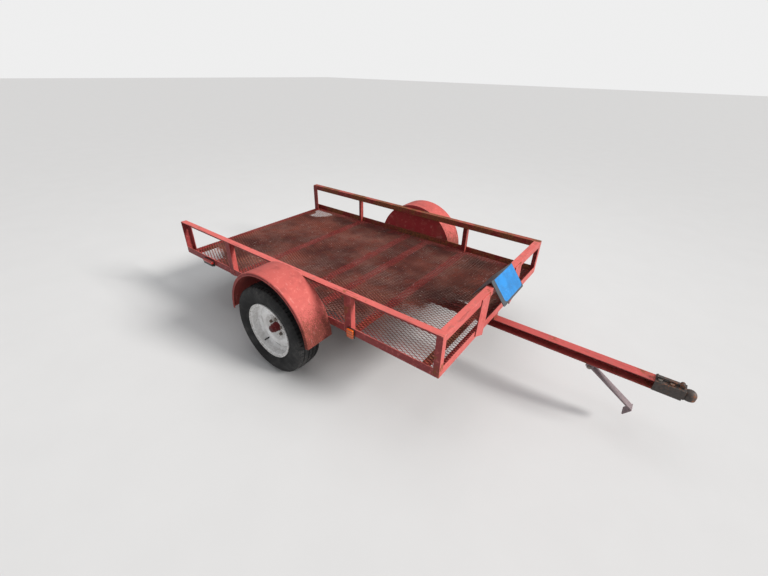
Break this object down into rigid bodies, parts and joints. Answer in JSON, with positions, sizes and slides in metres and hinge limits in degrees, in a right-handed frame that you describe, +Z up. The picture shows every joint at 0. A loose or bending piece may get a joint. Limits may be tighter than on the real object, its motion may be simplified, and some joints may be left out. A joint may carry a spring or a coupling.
{
  "type": "tow behind utility cart",
  "caption": "Single-axle tow-behind utility cart with an expanded metal deck, low open rails on three sides, round fenders and a straight channel tongue with ball coupler.",
  "frame": {"origin": "centre of the bounding box's footprint, on the ground", "axes": "+X forward along the tongue in the direction of travel, +Y to the left, +Z up"},
  "size_m": [3.538, 1.961, 0.7316],
  "materials": {
    "frame_red": "faded, chipped red paint with rust",
    "deck_rust": "rusty expanded metal with worn red paint",
    "dark_steel": "dull dark rusty steel",
    "bolt_steel": "weathered plated steel",
    "wheel_white": "dirty white gloss paint",
    "hub_red": "worn dark red paint",
    "tyre": "matte black tyre",
    "valve_rubber": "matte black rubber",
    "amber_lens": "amber lens",
    "red_lens": "red lens",
    "leg_steel": "weathered paint over steel",
    "board_blue": "blue plastic board"
  },
  "bodies": {
    "chassis": {"side_rail_right": "frame_red", "side_rail_left": "frame_red", "rear_cross_member": "frame_red", "front_cross_member": "frame_red", "deck_cross_member_1": "frame_red", "deck_cross_member_2": "frame_red", "deck_cross_member_3": "frame_red", "deck_cross_member_4": "frame_red", "tongue_cross_member": "frame_red", "deck_mesh": "deck_rust", "top_rail_right": "frame_red", "top_rail_left": "frame_red", "top_rail_front": "frame_red", "rear_post_right": "frame_red", "rear_post_left": "frame_red", "mid_post_rear_right": "frame_red", "mid_post_rear_left": "frame_red", "mid_post_front_right": "frame_red", "mid_post_front_left": "frame_red", "corner_post_right": "frame_red", "corner_post_left": "frame_red", "front_stay_right": "frame_red", "front_stay_left": "frame_red", "tongue_channel": "frame_red", "tongue_packer": "frame_red", "coupler_body": "dark_steel", "coupler_bolts": "bolt_steel", "fender_right": "frame_red", "fender_left": "frame_red", "spring_hangers_front": "dark_steel", "spring_hangers_rear": "dark_steel", "spring_bolts": "bolt_steel", "leaf_spring_right": "dark_steel", "leaf_spring_left": "dark_steel", "marker_lamps": "amber_lens", "tail_lamps": "red_lens", "leg_bracket": "dark_steel", "leg_pivot_bolt": "bolt_steel"},
    "axle": {"axle_tube": "dark_steel", "spindles": "dark_steel", "spindle_nuts": "bolt_steel", "wheel_bearings": "bolt_steel", "spring_plates": "dark_steel", "u_bolts": "bolt_steel"},
    "wheel_assembly_right": {"hub_right": "hub_red", "dust_cap_right": "hub_red", "wheel_right": "wheel_white", "tyre_right": "tyre", "lug_bolts_right": "bolt_steel", "valve_stem_right": "valve_rubber"},
    "wheel_assembly_left": {"hub_left": "hub_red", "dust_cap_left": "hub_red", "wheel_left": "wheel_white", "tyre_left": "tyre", "lug_bolts_left": "bolt_steel", "valve_stem_left": "valve_rubber"},
    "latch_lever": {"coupler_lever": "bolt_steel"},
    "jaw": {"coupler_jaw": "dark_steel"},
    "leg": {"prop_leg": "leg_steel"},
    "board": {"number_board": "board_blue"}
  },
  "joints": [
    {"name": "axle_bounce", "type": "slide", "parent": "chassis", "child": "axle", "axis": [0, 0, 1], "range_m": [-0.015, 0.03], "stiffness_N_per_m": 60000, "springref_m": -0.02, "deforming": ["leaf_spring_right", "leaf_spring_left"]},
    {"name": "wheel_spin_right", "type": "hinge", "parent": "axle", "child": "wheel_assembly_right", "pos_m": [-0.474, -0.886, 0.3165], "axis": [0, 1, 0], "continuous": true},
    {"name": "wheel_spin_left", "type": "hinge", "parent": "axle", "child": "wheel_assembly_left", "pos_m": [-0.474, 0.886, 0.3165], "axis": [0, 1, 0], "continuous": true},
    {"name": "latch_lift", "type": "hinge", "parent": "chassis", "child": "latch_lever", "pos_m": [1.693, 0, 0.41775], "axis": [0, 1, 0], "range_deg": [0, 80]},
    {"name": "jaw_drop", "type": "slide", "parent": "chassis", "child": "jaw", "axis": [0, 0, -1], "range_m": [0, 0.008]},
    {"name": "prop_leg_swing", "type": "hinge", "parent": "chassis", "child": "leg", "pos_m": [1.271, 0, 0.3276], "axis": [0, 1, 0], "range_deg": [-31, 56]},
    {"name": "board_lift_off", "type": "slide", "parent": "chassis", "child": "board", "axis": [0, 0, 1], "range_m": [0, 0.3]}
  ],
  "couplings": [
    {"joint": "jaw_drop", "follows": "latch_lift", "m_per_rad": 0.005728}
  ]
}
